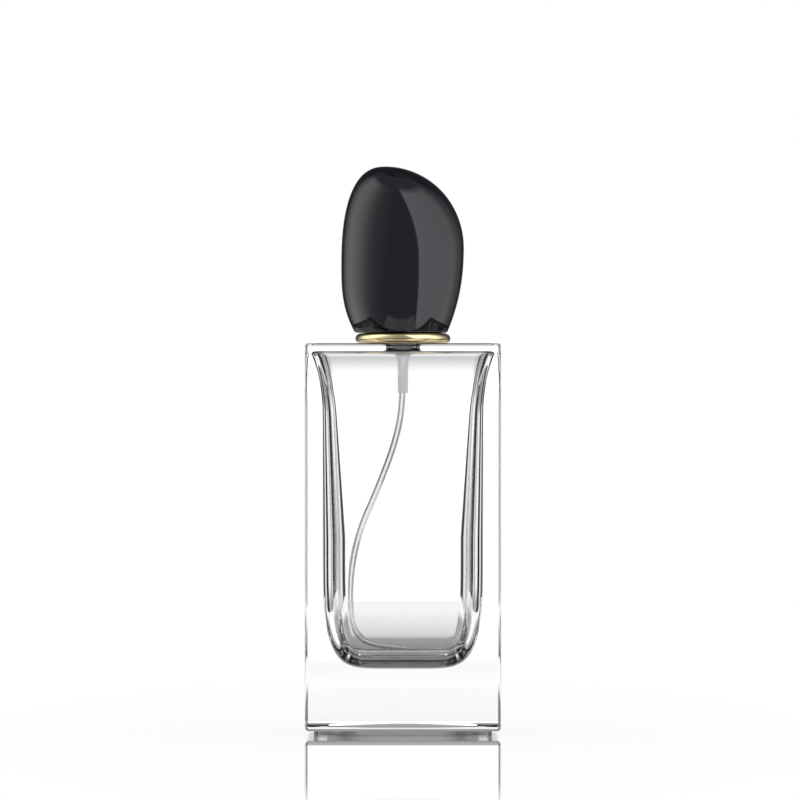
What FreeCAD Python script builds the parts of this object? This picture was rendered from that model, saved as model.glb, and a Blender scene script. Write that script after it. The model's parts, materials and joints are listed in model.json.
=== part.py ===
"""A clear glass aftershave spray bottle with a crimped mist pump and a pull-off pebble cap.

Millimetres, +Z up. The origin is the centre of the bottle's base, on the surface that it stands on.
The mist nozzle and the bottle's wide front face -Y.
"""
import FreeCAD, Part
import math
import os
import re
import Sketcher

# The driving dimensions, which fill the spreadsheet. A width or bore of a round piece is its diameter.
SIZES = {
    # glass body
    "body_width": 53.0,
    "body_depth": 38.0,
    "body_height": 106.2,
    "side_edge": 1.3,
    "shoulder_edge": 0.9,
    "base_edge": 1.3,
    # hollow of the glass: a flat floor, a rounded heel, a straight waist and a flare under the shoulder
    "base_thickness": 17.8,
    "shoulder_wall": 2.1,
    "side_wall": 4.9,
    "front_wall": 3.3,
    "hollow_corner": 6.1,
    "floor_width": 10.0,
    "floor_depth": 5.0,
    "floor_corner": 2.0,
    "heel_height": 35.8,
    "flare_height": 19.0,
    "flare_width": 3.0,
    "flare_depth": 1.4,
    "flare_corner": 3.5,
    "flare_corner_height": 11.0,
    # foot that the glass stands on, with a recess inside it
    "foot_height": 1.3,
    "foot_inset": 2.4,
    "foot_corner": 2.0,
    "recess_inset": 6.0,
    "recess_height": 2.4,
    "recess_corner": 8.0,
    "recess_edge": 0.8,
    # crimp neck of the glass, around the pump housing
    "housing_play": 0.5,
    "neck_root_wall": 1.6,
    "neck_root_height": 2.8,
    "neck_bead_wall": 2.85,
    "neck_bead_slope": 1.2,
    "neck_bead_height": 4.0,
    "neck_lip_edge": 0.5,
    # seal, flanges and ferrule on the neck
    "gasket_play": 0.2,
    "gasket_height": 0.8,
    "flange_setback": 0.25,
    "flange_height": 1.0,
    "turret_flange_height": 1.0,
    "ferrule_wall": 0.4,
    "ferrule_play": 0.1,
    "crimp_drop": 0.8,
    # pump housing
    "chamber_bore": 5.6,
    "chamber_wall": 1.3,
    "chamber_floor_wall": 0.9,
    "housing_drop": 0.8,
    "cone_top_width": 4.8,
    "cone_foot_width": 3.2,
    "cone_height": 3.3,
    "tail_wall": 0.55,
    "tail_length": 7.7,
    "tube_socket_depth": 6.1,
    "inlet_bore": 1.0,
    "vent_bore": 0.7,
    # inlet valve
    "ball_width": 2.0,
    "ball_play": 0.25,
    "ball_lip": 0.05,
    "ball_lip_height": 0.7,
    "ball_seat_drop": 2.1,
    "ball_gap": 0.01,
    # turret
    "turret_wall": 1.7,
    "turret_roof": 1.7,
    "spigot_wall": 0.7,
    "spigot_height": 1.2,
    "stem_play": 0.05,
    # moving pieces of the pump
    "stroke": 4.2,
    "return_spring_play": 0.6,
    "return_spring_reserve": 0.2,
    "return_wire": 0.4,
    "return_turns": 5.0,
    "preload_length": 3.6,
    "preload_play": 0.2,
    "preload_wire": 0.34,
    "preload_turns": 4.0,
    "core_head_setback": 0.1,
    "core_head_height": 0.8,
    "core_cone_height": 0.9,
    "core_width": 2.0,
    "core_bore": 1.0,
    "core_port": 0.6,
    "core_port_rise": 0.9,
    "piston_play": 0.03,
    "piston_bore_play": 0.05,
    "piston_seat_gap": 0.06,
    "piston_skirt": 0.5,
    "piston_skirt_play": 0.25,
    "piston_lip": 1.0,
    "piston_waist_drop": 0.15,
    "piston_web": 1.4,
    "piston_cup_depth": 0.9,
    "stem_width": 3.2,
    "stem_bore": 1.2,
    "stem_shoulder_play": 0.3,
    "stem_shoulder_height": 0.8,
    "stem_shoulder_gap": 0.1,
    "stem_skirt": 2.3,
    "stem_socket": 2.6,
    # push button
    "button_gap": 0.6,
    "button_height": 10.9,
    "button_wall": 0.4,
    "button_edge": 1.1,
    "button_clearance": 0.4,
    "hub_clearance": 0.3,
    "skirt_play": 0.7,
    "skirt_setback": 0.3,
    "stem_grip": 3.0,
    "nozzle_width": 4.6,
    "nozzle_drop": 4.0,
    "nozzle_setback": 0.35,
    "nozzle_length": 2.4,
    "nozzle_wall": 0.6,
    "nozzle_dish": 0.25,
    "nozzle_orifice": 0.36,
    "nozzle_hole_play": 0.1,
    "post_width": 1.8,
    "post_play": 0.05,
    "post_length": 1.5,
    "swirl_gap": 0.3,
    "channel_bore": 1.0,
    "channel_rise": 1.4,
    # plastic insert and gold collar, around the ferrule
    "insert_play": 0.05,
    "insert_wall": 0.65,
    "insert_lip": 1.0,
    "insert_setback": 1.3,
    "sleeve_wall": 0.5,
    "sleeve_height": 12.5,
    "sleeve_edge": 0.4,
    "sleeve_rim": 1.4,
    "collar_gap": 0.1,
    "collar_overhang": 3.8,
    "collar_bead_height": 2.8,
    "collar_bead_wall": 1.3,
    "collar_bead_edge": 1.15,
    "collar_deck": 0.6,
    # cap: an uneven pebble on a round mouth, with a ribbed liner around the collar's sleeve
    "liner_play": 0.1,
    "rib_depth": 0.5,
    "rib_width": 0.8,
    "rib_height": 11.0,
    "rib_count": 12,
    "liner_wall": 0.8,
    "liner_roof": 1.2,
    "liner_setback": 0.4,
    "liner_headroom": 8.6,
    "cap_gap": 0.1,
    "cap_crown": 13.3,
    "cap_lean": 4.7,
    "left_mouth_wall": 2.5,
    "right_mouth_wall": 1.5,
    "front_mouth_wall": 1.5,
    "left_tuck": 3.8,
    "right_tuck": 4.6,
    "front_tuck": 2.1,
    "left_belly": 17.9,
    "right_belly": 23.4,
    "front_belly": 20.3,
    "mouth_edge": 0.5,
    # dip tube
    "tube_width": 1.8,
    "tube_bore": 1.1,
}

# Sizes, heights and radii that follow from the driving dimensions.
PLACES = {
    # glass
    "hollow_width": "body_width - side_wall * 2",
    "hollow_depth": "body_depth - front_wall * 2",
    "hollow_top": "body_height - shoulder_wall",
    "waist_foot": "base_thickness + heel_height",
    "flare_corner_foot": "hollow_top - flare_corner_height",
    "neck_bore_radius": "housing_radius + housing_play",
    "neck_root_radius": "neck_bore_radius + neck_root_wall",
    "neck_bead_radius": "neck_bore_radius + neck_bead_wall",
    "bead_foot": "body_height + neck_root_height",
    "neck_top": "bead_foot + neck_bead_height",
    # flanges and ferrule
    "flange_radius": "neck_bead_radius - flange_setback",
    "gasket_top": "neck_top + gasket_height",
    "flange_top": "gasket_top + flange_height",
    "turret_flange_top": "flange_top + turret_flange_height",
    "ferrule_top": "turret_flange_top + ferrule_wall",
    "ferrule_bore_radius": "neck_bead_radius + ferrule_play",
    "ferrule_radius": "ferrule_bore_radius + ferrule_wall",
    # housing, from its chamber
    "chamber_radius": "chamber_bore / 2",
    "housing_radius": "chamber_radius + chamber_wall",
    "housing_foot": "hollow_top - housing_drop",
    "chamber_floor": "housing_foot + chamber_floor_wall",
    "cone_foot": "housing_foot - cone_height",
    "tail_radius": "tube_width / 2 + tail_wall",
    "tail_foot": "cone_foot - tail_length",
    "tube_stop": "tail_foot + tube_socket_depth",
    "spigot_radius": "chamber_radius + spigot_wall",
    "spigot_foot": "flange_top - spigot_height",
    "pocket_radius": "ball_width / 2 + ball_play",
    "ball_seat": "housing_foot - ball_seat_drop",
    "ball_seat_rim": "ball_seat + pocket_radius - inlet_bore / 2",
    "ball_centre": "ball_seat - inlet_bore / 2 + ball_width / 2 * sqrt(2) + ball_gap",
    # moving pieces of the pump, from the chamber's floor up
    "return_spring_width": "chamber_bore - return_spring_play * 2",
    "return_spring_length": "stroke + (return_turns + 1) * return_wire + return_spring_reserve",
    "core_foot": "chamber_floor + return_spring_length",
    "core_radius": "core_width / 2",
    "core_head_radius": "return_spring_width / 2 - core_head_setback",
    "core_cone_foot": "core_foot + core_head_height",
    "core_cone_top": "core_cone_foot + core_cone_height",
    "core_slope": "core_cone_height / (core_head_radius - core_radius)",
    "piston_bore_radius": "core_radius + piston_bore_play",
    "piston_radius": "chamber_radius - piston_play",
    "piston_skirt_radius": "core_head_radius + piston_skirt_play",
    "piston_waist_radius": "piston_radius - piston_waist_drop",
    "piston_cup_radius": "preload_spring_width / 2 + preload_play / 2",
    "piston_seat_foot": "core_cone_foot + piston_seat_gap",
    "piston_seat_top": "core_cone_top + piston_seat_gap - piston_bore_play * core_slope",
    "piston_foot": "piston_seat_foot - piston_skirt",
    "piston_web_top": "piston_seat_top + piston_web",
    "piston_top": "piston_web_top + piston_cup_depth",
    "preload_spring_width": "stem_width + (preload_play + preload_wire) * 2",
    "stem_radius": "stem_width / 2",
    "stem_shoulder_radius": "chamber_radius - stem_shoulder_play",
    "shoulder_foot": "piston_web_top + preload_length",
    "shoulder_top": "shoulder_foot + stem_shoulder_height",
    "stem_foot": "shoulder_foot - stem_skirt",
    "core_top": "stem_foot + stem_socket",
    # turret
    "turret_radius": "chamber_radius + turret_wall",
    "turret_roof_foot": "shoulder_top + stem_shoulder_gap",
    "turret_top": "turret_roof_foot + turret_roof",
    # insert and collar, from the ferrule
    "insert_bore_radius": "ferrule_radius + insert_play",
    "insert_radius": "insert_bore_radius + insert_wall",
    "insert_lip_foot": "ferrule_top + insert_play",
    "sleeve_bore_radius": "insert_radius + insert_play",
    "sleeve_radius": "sleeve_bore_radius + sleeve_wall",
    "mouth_radius": "sleeve_bore_radius - sleeve_rim",
    "collar_radius": "sleeve_radius + collar_overhang",
    "bead_bore_radius": "collar_radius - collar_bead_wall",
    "collar_foot": "body_height + collar_gap",
    "bead_top": "collar_foot + collar_bead_height",
    "collar_deck_foot": "bead_top - collar_deck",
    "sleeve_top": "bead_top + sleeve_height",
    # button, inside the collar's mouth and over the stem
    "button_radius": "mouth_radius - button_gap",
    "button_core_radius": "button_radius - button_wall",
    "button_foot": "ferrule_top + stroke + button_clearance",
    "button_top": "button_foot + button_height",
    "button_core_top": "button_top - button_wall",
    "skirt_bore_radius": "turret_radius + skirt_play",
    "hub_foot": "turret_top + stroke + hub_clearance",
    "stem_top": "hub_foot + stem_grip",
    "nozzle_radius": "nozzle_width / 2",
    "nozzle_height": "button_top - nozzle_drop",
    "nozzle_front": "button_radius - nozzle_setback",
    "nozzle_back": "nozzle_front - nozzle_length",
    "channel_height": "nozzle_height + channel_rise",
    "drill_start": "button_radius + 1",
    # cap, around the collar's sleeve and over the button
    "rib_radius": "sleeve_radius + liner_play",
    "liner_bore_radius": "rib_radius + rib_depth",
    "liner_radius": "liner_bore_radius + liner_wall",
    "cap_foot": "bead_top + cap_gap",
    "liner_foot": "cap_foot + liner_setback",
    "liner_ceiling": "button_top + liner_headroom",
    "liner_top": "liner_ceiling + liner_roof",
    "cap_top": "liner_top + cap_crown",
    "cap_height": "cap_top - (cap_foot)",
    "cap_left": "liner_radius + left_mouth_wall + left_tuck",
    "cap_right": "liner_radius + right_mouth_wall + right_tuck",
    "cap_front": "liner_radius + front_mouth_wall + front_tuck",
}

# Powers of the curves that the hollow's heel and flare follow: a higher one gives a fuller corner.
HEEL_FULLNESS = 4
FLARE_FULLNESS = 2.5
# Angles, in degrees, of the heel's sections from the floor up to the waist.
HEEL_ANGLES = (90, 87, 80, 70, 57, 42, 25, 0)
# Shares of the flare's height at which its sections lie.
FLARE_SHARES = (0.0, 0.25, 0.45, 0.7, 0.88, 1.0)
# Powers of the cap's profiles: above each belly, and tucking in below it.
LEFT_POWERS = (2.5, 2.7)
RIGHT_POWERS = (2.0, 2.2)
FRONT_POWERS = (2.2, 2.4)
CAP_RINGS = 18
CAP_SPOKES = 24
# The dip tube's route below its socket: share of the hollow's half width, share of the drop to the floor.
TUBE_ROUTE = (
    (0.00, 0.03),
    (-0.09, 0.17),
    (-0.31, 0.34),
    (-0.54, 0.49),
    (-0.65, 0.635),
    (-0.67, 0.775),
    (-0.62, 0.88),
    (-0.41, 0.955),
    (0.04, 0.967),
)
# Share of a shorter run that a tangent arc of the tube's route may take at each end.
ARC_SHARE = 0.45
TOLERANCE = 1e-4

doc = FreeCAD.newDocument("AftershaveBottle")
sheet = doc.addObject("Spreadsheet::Sheet", "Sizes")
parts = []


def fill_sheet():
    """Write each driving dimension into the sheet, with its name as alias."""
    for row, (name, number) in enumerate(SIZES.items(), start=1):
        sheet.set(f"A{row}", name)
        sheet.set(f"B{row}", str(number))
        sheet.setAlias(f"B{row}", name)
    doc.recompute()


def cells(text):
    """The expression for a size written in plain names, in terms of the sheet's cells."""
    def swap(match):
        word = match.group(0)
        if word in PLACES:
            return "(" + cells(PLACES[word]) + ")"
        if word in SIZES:
            return "Sizes." + word
        return word
    return re.sub(r"[a-z][a-z_0-9]*", swap, text)


def value(text):
    """The present value, in millimetres, of a size written in plain names."""
    return float(sheet.evalExpression(cells(text)))


def bind(item, where, text):
    """Tie a property or constraint of an object to the sheet."""
    item.setExpression(where, cells(text))


def new_body(label):
    """A PartDesign body that becomes one sub-part."""
    body = doc.addObject("PartDesign::Body", label)
    body.Label = label
    parts.append(body)
    return body


def new_sketch(body, name, role, offset=None):
    """A sketch on one of the body's own origin planes, moved along its normal by an offset."""
    sketch = body.newObject("Sketcher::SketchObject", body.Label + "_" + name)
    plane = next(item for item in body.Origin.OriginFeatures if item.Role == role)
    sketch.AttachmentSupport = [(plane, "")]
    sketch.MapMode = "FlatFace"
    if offset:
        bind(sketch, ".AttachmentOffset.Base.z", offset)
    return sketch


def hold_point(sketch, index, across, up):
    """Tie the start of line number index to its two distances from the sketch's origin."""
    for kind, text, axis in (("DistanceX", across, -2), ("DistanceY", up, -1)):
        if abs(value(text)) < TOLERANCE:
            sketch.addConstraint(Sketcher.Constraint("PointOnObject", index, 1, axis))
        else:
            held = Sketcher.Constraint(kind, -1, 1, index, 1, value(text))
            bind(sketch, f"Constraints[{sketch.addConstraint(held)}]", text)


def draw_outline(sketch, outline):
    """A closed outline of straight lines through points given as pairs of sizes."""
    points = [FreeCAD.Vector(value(across), value(up), 0) for across, up in outline]
    count = len(points)
    for index in range(count):
        sketch.addGeometry(Part.LineSegment(points[index], points[(index + 1) % count]), False)
    for index in range(count):
        sketch.addConstraint(Sketcher.Constraint("Coincident", index, 2, (index + 1) % count, 1))
    for index, (across, up) in enumerate(outline):
        hold_point(sketch, index, across, up)


def draw_circle(sketch, radius, up="0"):
    """A circle on the sketch's upright axis, at a height."""
    centre = FreeCAD.Vector(0, value(up), 0)
    circle = sketch.addGeometry(Part.Circle(centre, FreeCAD.Vector(0, 0, 1), value(radius)), False)
    sketch.addConstraint(Sketcher.Constraint("PointOnObject", circle, 3, -2))
    if abs(value(up)) < TOLERANCE:
        sketch.addConstraint(Sketcher.Constraint("PointOnObject", circle, 3, -1))
    else:
        held = Sketcher.Constraint("DistanceY", -1, 1, circle, 3, value(up))
        bind(sketch, f"Constraints[{sketch.addConstraint(held)}]", up)
    size = Sketcher.Constraint("Radius", circle, value(radius))
    bind(sketch, f"Constraints[{sketch.addConstraint(size)}]", radius)


def draw_rounded_box(sketch, half_width, half_depth, corner):
    """A rectangle about the sketch's origin, with four round corners."""
    wide, deep, round_ = value(half_width), value(half_depth), value(corner)
    normal = FreeCAD.Vector(0, 0, 1)
    quarters = ((1, 1, 0), (-1, 1, 90), (-1, -1, 180), (1, -1, 270))
    arcs = []
    for side, end, start in quarters:
        centre = FreeCAD.Vector(side * (wide - round_), end * (deep - round_), 0)
        circle = Part.Circle(centre, normal, round_)
        arc = Part.ArcOfCircle(circle, math.radians(start), math.radians(start + 90))
        arcs.append(sketch.addGeometry(arc, False))
    lines = []
    for index in range(4):
        first = sketch.getPoint(arcs[index], 2)
        last = sketch.getPoint(arcs[(index + 1) % 4], 1)
        lines.append(sketch.addGeometry(Part.LineSegment(first, last), False))
    for index in range(4):
        sketch.addConstraint(Sketcher.Constraint("Tangent", arcs[index], 2, lines[index], 1))
        sketch.addConstraint(Sketcher.Constraint("Tangent", lines[index], 2, arcs[(index + 1) % 4], 1))
    for index in (0, 2):
        sketch.addConstraint(Sketcher.Constraint("Horizontal", lines[index]))
        sketch.addConstraint(Sketcher.Constraint("Vertical", lines[index + 1]))
    for index in (1, 2, 3):
        sketch.addConstraint(Sketcher.Constraint("Equal", arcs[0], arcs[index]))
    size = Sketcher.Constraint("Radius", arcs[0], round_)
    bind(sketch, f"Constraints[{sketch.addConstraint(size)}]", corner)
    for kind, text, number, line in (
        ("DistanceX", f"0 - ({half_width})", -wide, 1),
        ("DistanceX", half_width, wide, 3),
        ("DistanceY", half_depth, deep, 0),
        ("DistanceY", f"0 - ({half_depth})", -deep, 2),
    ):
        held = Sketcher.Constraint(kind, -1, 1, lines[line], 1, number)
        bind(sketch, f"Constraints[{sketch.addConstraint(held)}]", text)


def pad(body, name, sketch, length):
    """Raise a sketch's outline by a length."""
    raised = body.newObject("PartDesign::Pad", body.Label + "_pad_" + name)
    raised.Profile = sketch
    bind(raised, "Length", length)
    doc.recompute()
    return raised


def revolve(body, outline, name="profile"):
    """Turn an outline of (radius, height) pairs about the body's upright axis."""
    sketch = new_sketch(body, name, "XZ_Plane")
    draw_outline(sketch, outline)
    turned = body.newObject("PartDesign::Revolution", body.Label + "_turned_" + name)
    turned.Profile = sketch
    turned.ReferenceAxis = (sketch, ["V_Axis"])
    turned.Angle = 360
    doc.recompute()


def groove(body, outline, name):
    """Cut an outline turned about the body's upright axis."""
    before = body.Shape.Volume
    sketch = new_sketch(body, name, "XZ_Plane")
    draw_outline(sketch, outline)
    cut = body.newObject("PartDesign::Groove", body.Label + "_groove_" + name)
    cut.Profile = sketch
    cut.ReferenceAxis = (sketch, ["V_Axis"])
    cut.Angle = 360
    doc.recompute()
    check_cut(body, before, name)


def check_cut(body, before, name):
    """Stop if a cut has taken nothing away."""
    if body.Shape.Volume > before - TOLERANCE:
        raise RuntimeError(f"{body.Label}: the cut {name} removes nothing")


def drill(body, name, rings, height, front, length):
    """Cut round outlines along +Y, from a plane at -Y = front, for a length."""
    before = body.Shape.Volume
    sketch = new_sketch(body, name, "XZ_Plane", front)
    for radius in rings:
        draw_circle(sketch, radius, height)
    cut = body.newObject("PartDesign::Pocket", body.Label + "_drill_" + name)
    cut.Profile = sketch
    bind(cut, "Length", length)
    doc.recompute()
    check_cut(body, before, name)


def circle_edges(shape, radius, height):
    """Names of a shape's round edges of a radius about the upright axis at a height."""
    names = []
    for name in level_edges(shape, height):
        point = shape.getElement(name).Vertexes[0].Point
        if abs(math.hypot(point.x, point.y) - value(radius)) < TOLERANCE:
            names.append(name)
    return names


def level_edges(shape, height):
    """Names of a shape's edges that lie flat at a height."""
    names = []
    for index, edge in enumerate(shape.Edges, start=1):
        box = edge.BoundBox
        if abs(box.ZMin - value(height)) < TOLERANCE and abs(box.ZMax - value(height)) < TOLERANCE:
            names.append(f"Edge{index}")
    return names


def fillet(body, name, edges, radius):
    """Round named edges of the body's last feature."""
    last = body.Tip
    rounded = body.newObject("PartDesign::Fillet", body.Label + "_round_" + name)
    rounded.Base = (last, edges)
    bind(rounded, "Radius", radius)
    doc.recompute()


def coil(label, foot, length, width, wire, turns):
    """A round-wire spring about the upright axis that just fills a length."""
    body = new_body(label)
    sketch = new_sketch(body, "wire", "XZ_Plane")
    draw_wire_section(sketch, f"({width} - {wire}) / 2", f"{foot} + {wire} / 2", f"{wire} / 2")
    helix = body.newObject("PartDesign::AdditiveHelix", label + "_helix")
    helix.Profile = sketch
    helix.ReferenceAxis = (sketch, ["V_Axis"])
    helix.Mode = 2
    bind(helix, "Height", f"{length} - {wire}")
    bind(helix, "Turns", turns)
    doc.recompute()


def draw_wire_section(sketch, across, up, radius):
    """A circle at a distance from the upright axis and at a height."""
    centre = FreeCAD.Vector(value(across), value(up), 0)
    circle = sketch.addGeometry(Part.Circle(centre, FreeCAD.Vector(0, 0, 1), value(radius)), False)
    for kind, text in (("DistanceX", across), ("DistanceY", up)):
        held = Sketcher.Constraint(kind, -1, 1, circle, 3, value(text))
        bind(sketch, f"Constraints[{sketch.addConstraint(held)}]", text)
    size = Sketcher.Constraint("Radius", circle, value(radius))
    bind(sketch, f"Constraints[{sketch.addConstraint(size)}]", radius)


def hollow_sections():
    """The hollow's rounded sections: height, half width, half depth and corner, from the floor up."""
    power = 2 / HEEL_FULLNESS
    sections = []
    for angle in HEEL_ANGLES:
        drop = round(math.sin(math.radians(angle)) ** power, 5)
        spread = round(math.cos(math.radians(angle)) ** power, 5) if angle < 90 else 0
        sections.append((
            f"waist_foot - heel_height * {drop}",
            f"floor_width / 2 + (hollow_width - floor_width) / 2 * {spread}",
            f"floor_depth / 2 + (hollow_depth - floor_depth) / 2 * {spread}",
            f"floor_corner + (hollow_corner - floor_corner) * {spread}",
        ))
    for share in FLARE_SHARES:
        spread = round(share ** FLARE_FULLNESS, 5)
        height = f"hollow_top - flare_height * (1 - {share})"
        narrowing = f"max(0; flare_corner_foot - ({height})) / (flare_corner_foot - waist_foot)"
        sections.append((
            height,
            f"hollow_width / 2 + flare_width * {spread}",
            f"hollow_depth / 2 + flare_depth * {spread}",
            f"flare_corner + (hollow_corner - flare_corner) * {narrowing}",
        ))
    return sections


def make_glass():
    """The moulded glass: a rounded block on a foot, the neck, the lofted hollow, the bore and the recess."""
    body = new_body("glass_bottle")
    plan = new_sketch(body, "plan", "XY_Plane", "foot_height")
    draw_rounded_box(plan, "body_width / 2", "body_depth / 2", "side_edge")
    pad(body, "block", plan, "body_height - foot_height")
    fillet(body, "shoulder", level_edges(body.Shape, "body_height"), "shoulder_edge")
    fillet(body, "base", level_edges(body.Shape, "foot_height"), "base_edge")
    plan = new_sketch(body, "foot_plan", "XY_Plane")
    draw_rounded_box(plan, "body_width / 2 - foot_inset", "body_depth / 2 - foot_inset", "foot_corner")
    pad(body, "foot", plan, "foot_height")

    revolve(body, [
        ("0", "body_height - shoulder_wall / 2"),
        ("neck_root_radius", "body_height - shoulder_wall / 2"),
        ("neck_root_radius", "bead_foot"),
        ("neck_bead_radius", "bead_foot + neck_bead_slope"),
        ("neck_bead_radius", "neck_top"),
        ("0", "neck_top"),
    ], "neck")
    fillet(body, "lip", circle_edges(body.Shape, "neck_bead_radius", "neck_top"), "neck_lip_edge")

    before = body.Shape.Volume
    sketches = []
    for index, (height, half_width, half_depth, corner) in enumerate(hollow_sections()):
        sketch = new_sketch(body, f"hollow_{index}", "XY_Plane", height)
        draw_rounded_box(sketch, half_width, half_depth, corner)
        sketches.append(sketch)
    hollow = body.newObject("PartDesign::SubtractiveLoft", "glass_hollow")
    hollow.Profile = sketches[0]
    hollow.Sections = sketches[1:]
    hollow.Ruled = False
    doc.recompute()
    check_cut(body, before, "hollow")
    groove(body, [
        ("0", "hollow_top - 1"),
        ("neck_bore_radius", "hollow_top - 1"),
        ("neck_bore_radius", "neck_top + 1"),
        ("0", "neck_top + 1"),
    ], "bore")

    before = body.Shape.Volume
    plan = new_sketch(body, "recess", "XY_Plane")
    draw_rounded_box(plan, "body_width / 2 - recess_inset", "body_depth / 2 - recess_inset", "recess_corner")
    recess = body.newObject("PartDesign::Pocket", "glass_recess")
    recess.Profile = plan
    recess.Reversed = True
    bind(recess, "Length", "recess_height")
    doc.recompute()
    check_cut(body, before, "recess")
    fillet(body, "recess", level_edges(recess.Shape, "recess_height"), "recess_edge")


def make_neck_pieces():
    """The flat seal and the crimped ferrule, whose skirt turns in under the neck's bead."""
    revolve(new_body("neck_gasket"), [
        ("housing_radius + gasket_play", "neck_top"),
        ("flange_radius", "neck_top"),
        ("flange_radius", "gasket_top"),
        ("housing_radius + gasket_play", "gasket_top"),
    ])
    slope = "neck_bead_slope / (neck_bead_radius - neck_root_radius)"
    knee = "bead_foot + neck_bead_slope - ferrule_play / 2"
    crimp_foot = f"{knee} - crimp_drop * {slope} - ferrule_play"
    revolve(new_body("crimp_ferrule"), [
        ("turret_radius + ferrule_play", "turret_flange_top"),
        ("ferrule_bore_radius", "turret_flange_top"),
        ("ferrule_bore_radius", knee),
        ("ferrule_bore_radius - crimp_drop", crimp_foot),
        ("ferrule_bore_radius - crimp_drop + ferrule_wall * 0.7", f"{crimp_foot} - ferrule_wall * 0.7"),
        ("ferrule_radius", f"{knee} - ferrule_wall * 0.4"),
        ("ferrule_radius", "ferrule_top"),
        ("turret_radius + ferrule_play", "ferrule_top"),
    ])


def make_housing():
    """The pump housing: flange, chamber, inlet valve pocket, cone and tail in one moulding."""
    body = new_body("pump_housing")
    revolve(body, [
        ("tube_width / 2", "tail_foot"),
        ("tail_radius", "tail_foot"),
        ("tail_radius", "cone_foot"),
        ("cone_foot_width / 2", "cone_foot"),
        ("cone_top_width / 2", "housing_foot"),
        ("housing_radius", "housing_foot"),
        ("housing_radius", "gasket_top"),
        ("flange_radius", "gasket_top"),
        ("flange_radius", "flange_top"),
        ("spigot_radius", "flange_top"),
        ("spigot_radius", "spigot_foot"),
        ("chamber_radius", "spigot_foot"),
        ("chamber_radius", "chamber_floor"),
        ("ball_width / 2 - ball_lip", "chamber_floor"),
        ("ball_width / 2 - ball_lip", "chamber_floor - ball_lip_height"),
        ("pocket_radius", "chamber_floor - ball_lip_height"),
        ("pocket_radius", "ball_seat_rim"),
        ("inlet_bore / 2", "ball_seat"),
        ("inlet_bore / 2", "tube_stop"),
        ("tube_width / 2", "tube_stop"),
    ])
    beyond = "housing_radius + 1"
    drill(body, "vent", ["vent_bore / 2"], "(piston_foot + piston_top) / 2", beyond, beyond)


def make_turret():
    """The turret closes the chamber: a spigot, a flange, a tube and a roof with the stem's hole."""
    revolve(new_body("pump_turret"), [
        ("chamber_radius", "spigot_foot"),
        ("spigot_radius", "spigot_foot"),
        ("spigot_radius", "flange_top"),
        ("flange_radius", "flange_top"),
        ("flange_radius", "turret_flange_top"),
        ("turret_radius", "turret_flange_top"),
        ("turret_radius", "turret_top"),
        ("stem_radius + stem_play", "turret_top"),
        ("stem_radius + stem_play", "turret_roof_foot"),
        ("chamber_radius", "turret_roof_foot"),
    ])


def make_valve_core():
    """The lower stem: a head on the spring, the outlet valve's cone, a bored shaft and its cross port."""
    body = new_body("valve_core")
    revolve(body, [
        ("0", "core_foot"),
        ("core_head_radius", "core_foot"),
        ("core_head_radius", "core_cone_foot"),
        ("core_radius", "core_cone_top"),
        ("core_radius", "core_top"),
        ("core_bore / 2", "core_top"),
        ("core_bore / 2", "core_cone_top + core_port / 2"),
        ("0", "core_cone_top + core_port / 2"),
    ])
    drill(body, "port", ["core_port / 2"], "core_cone_top + core_port_rise", "core_width", "core_width * 2")


def make_piston():
    """The piston: a skirt and two lips on the chamber wall, a seat for the cone and a cup for its spring."""
    revolve(new_body("piston"), [
        ("piston_bore_radius", "piston_seat_top"),
        ("core_head_radius", "piston_seat_foot"),
        ("piston_skirt_radius", "piston_seat_foot"),
        ("piston_skirt_radius", "piston_foot"),
        ("piston_radius", "piston_foot"),
        ("piston_radius", "piston_foot + piston_lip"),
        ("piston_waist_radius", "piston_foot + piston_lip * 1.3"),
        ("piston_waist_radius", "piston_top - piston_lip * 0.8"),
        ("piston_radius", "piston_top - piston_lip * 0.5"),
        ("piston_radius", "piston_top"),
        ("piston_cup_radius", "piston_top"),
        ("piston_cup_radius", "piston_web_top"),
        ("piston_bore_radius", "piston_web_top"),
    ])


def make_stem():
    """The upper stem: a socket for the valve core, a shoulder under the turret's roof and the outlet bore."""
    revolve(new_body("pump_stem"), [
        ("core_radius", "stem_foot"),
        ("stem_radius", "stem_foot"),
        ("stem_radius", "shoulder_foot"),
        ("stem_shoulder_radius", "shoulder_foot"),
        ("stem_shoulder_radius", "shoulder_top"),
        ("stem_radius", "shoulder_top"),
        ("stem_radius", "stem_top"),
        ("stem_bore / 2", "stem_top"),
        ("stem_bore / 2", "core_top"),
        ("core_radius", "core_top"),
    ])


def make_springs():
    """The return spring under the valve core, and the spring that holds the piston on the cone."""
    coil("return_spring", "chamber_floor", "return_spring_length", "return_spring_width", "return_wire",
         "return_turns")
    coil("precompression_spring", "piston_web_top", "preload_length", "preload_spring_width", "preload_wire",
         "preload_turns")


def make_ball():
    """The steel ball of the inlet valve, resting on its cone."""
    ball = doc.addObject("Part::Sphere", "inlet_ball")
    ball.Label = "inlet_ball"
    bind(ball, "Radius", "ball_width / 2")
    bind(ball, ".Placement.Base.z", "ball_centre")
    parts.append(ball)


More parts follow.
